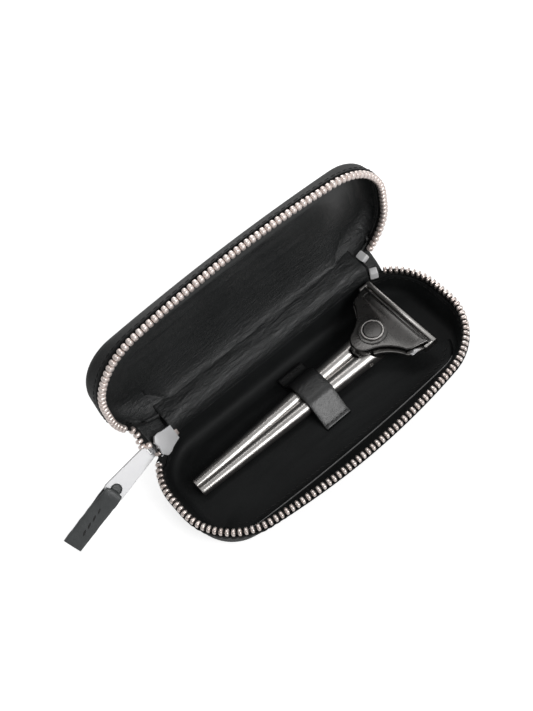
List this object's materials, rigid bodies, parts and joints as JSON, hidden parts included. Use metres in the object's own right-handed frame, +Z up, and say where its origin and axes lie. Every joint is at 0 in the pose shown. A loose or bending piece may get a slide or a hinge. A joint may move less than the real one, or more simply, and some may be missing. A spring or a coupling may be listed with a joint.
{
  "type": "razor travel case",
  "caption": "Zip-round leather clamshell case, open at a right angle, with a strap that holds a T-head razor with a push button.",
  "frame": {"origin": "centre of the base's flat underside", "axes": "+X along the case towards the razor's head, +Y towards the spine, +Z up"},
  "size_m": [0.1998, 0.0864, 0.0897],
  "materials": {
    "outer_leather": "smooth black",
    "lining_leather": "smooth black",
    "board": "plain grey board",
    "tape": "black woven tape",
    "zip_metal": "bright with a warm tint",
    "slider_metal": "polished",
    "thread": "black waxed thread",
    "razor_steel": "satin",
    "blade_steel": "bright",
    "spring_steel": "plain"
  },
  "bodies": {
    "base": {"base_outer_shell": "outer_leather", "base_board": "board", "base_lining": "lining_leather", "base_floor_panel": "lining_leather", "base_panel_stitches": "thread", "base_zip_tape": "tape", "base_zip_teeth": "zip_metal", "base_top_stop": "zip_metal", "strap": "outer_leather", "strap_stitches": "thread", "spine_leather": "outer_leather", "spine_lining": "lining_leather"},
    "lid": {"lid_outer_shell": "outer_leather", "lid_board": "board", "lid_lining": "lining_leather", "lid_panel": "lining_leather", "lid_panel_stitches": "thread", "lid_zip_tape": "tape", "lid_zip_teeth": "zip_metal", "lid_top_stop": "zip_metal", "lid_chain_end": "zip_metal"},
    "slider": {"slider_body": "slider_metal", "slider_bridge": "slider_metal", "zip_bottom_stop": "zip_metal"},
    "pull": {"pull_plate": "slider_metal"},
    "tab": {"leather_tab": "outer_leather", "tab_stitches": "thread"},
    "razor": {"razor_handle": "razor_steel", "pivot_pin": "spring_steel", "pivot_spring": "spring_steel"},
    "razor_head": {"head_plate": "razor_steel", "head_guard": "razor_steel", "razor_blade": "blade_steel", "button_spring": "spring_steel"},
    "button": {"release_button": "razor_steel"}
  },
  "joints": [
    {"name": "lid_fold", "type": "hinge", "parent": "base", "child": "lid", "pos_m": [0, 0.0336, 0.0186], "axis": [-1, 0, 0], "range_deg": [-90, 85], "deforming": ["spine_leather", "spine_lining", "lid_chain_end"]},
    {"name": "slider_turn", "type": "hinge", "parent": "base", "child": "slider", "pos_m": [-0.06252, 0.02846, 0.0186], "axis": [-1, 0, 0], "range_deg": [-45, 42.5]},
    {"name": "pull_swing", "type": "hinge", "parent": "slider", "child": "pull", "pos_m": [-0.06771, 0.03002, 0.01703], "axis": [0, 0.7071, 0.7071], "range_deg": [-90, 12]},
    {"name": "tab_swing", "type": "hinge", "parent": "pull", "child": "tab", "pos_m": [-0.09361, 0.03002, 0.01703], "axis": [0, 0.7071, 0.7071], "range_deg": [-40, 40]},
    {"name": "razor_lift", "type": "slide", "parent": "base", "child": "razor", "axis": [0.7071, 0, 0.7071], "range_m": [0, 0.15], "deforming": ["strap"]},
    {"name": "head_pivot", "type": "hinge", "parent": "razor", "child": "razor_head", "pos_m": [0.03, 0.006, 0.0084], "axis": [0, 1, 0], "range_deg": [0, 15], "stiffness_Nm_per_rad": 0.03, "springref_deg": -20.05, "deforming": ["pivot_spring"]},
    {"name": "button_press", "type": "slide", "parent": "razor_head", "child": "button", "axis": [0, 0, -1], "range_m": [0, 0.001], "stiffness_N_per_m": 800, "springref_m": -0.0005, "deforming": ["button_spring"]}
  ],
  "couplings": [
    {"joint": "slider_turn", "follows": "lid_fold", "ratio": 0.5}
  ]
}
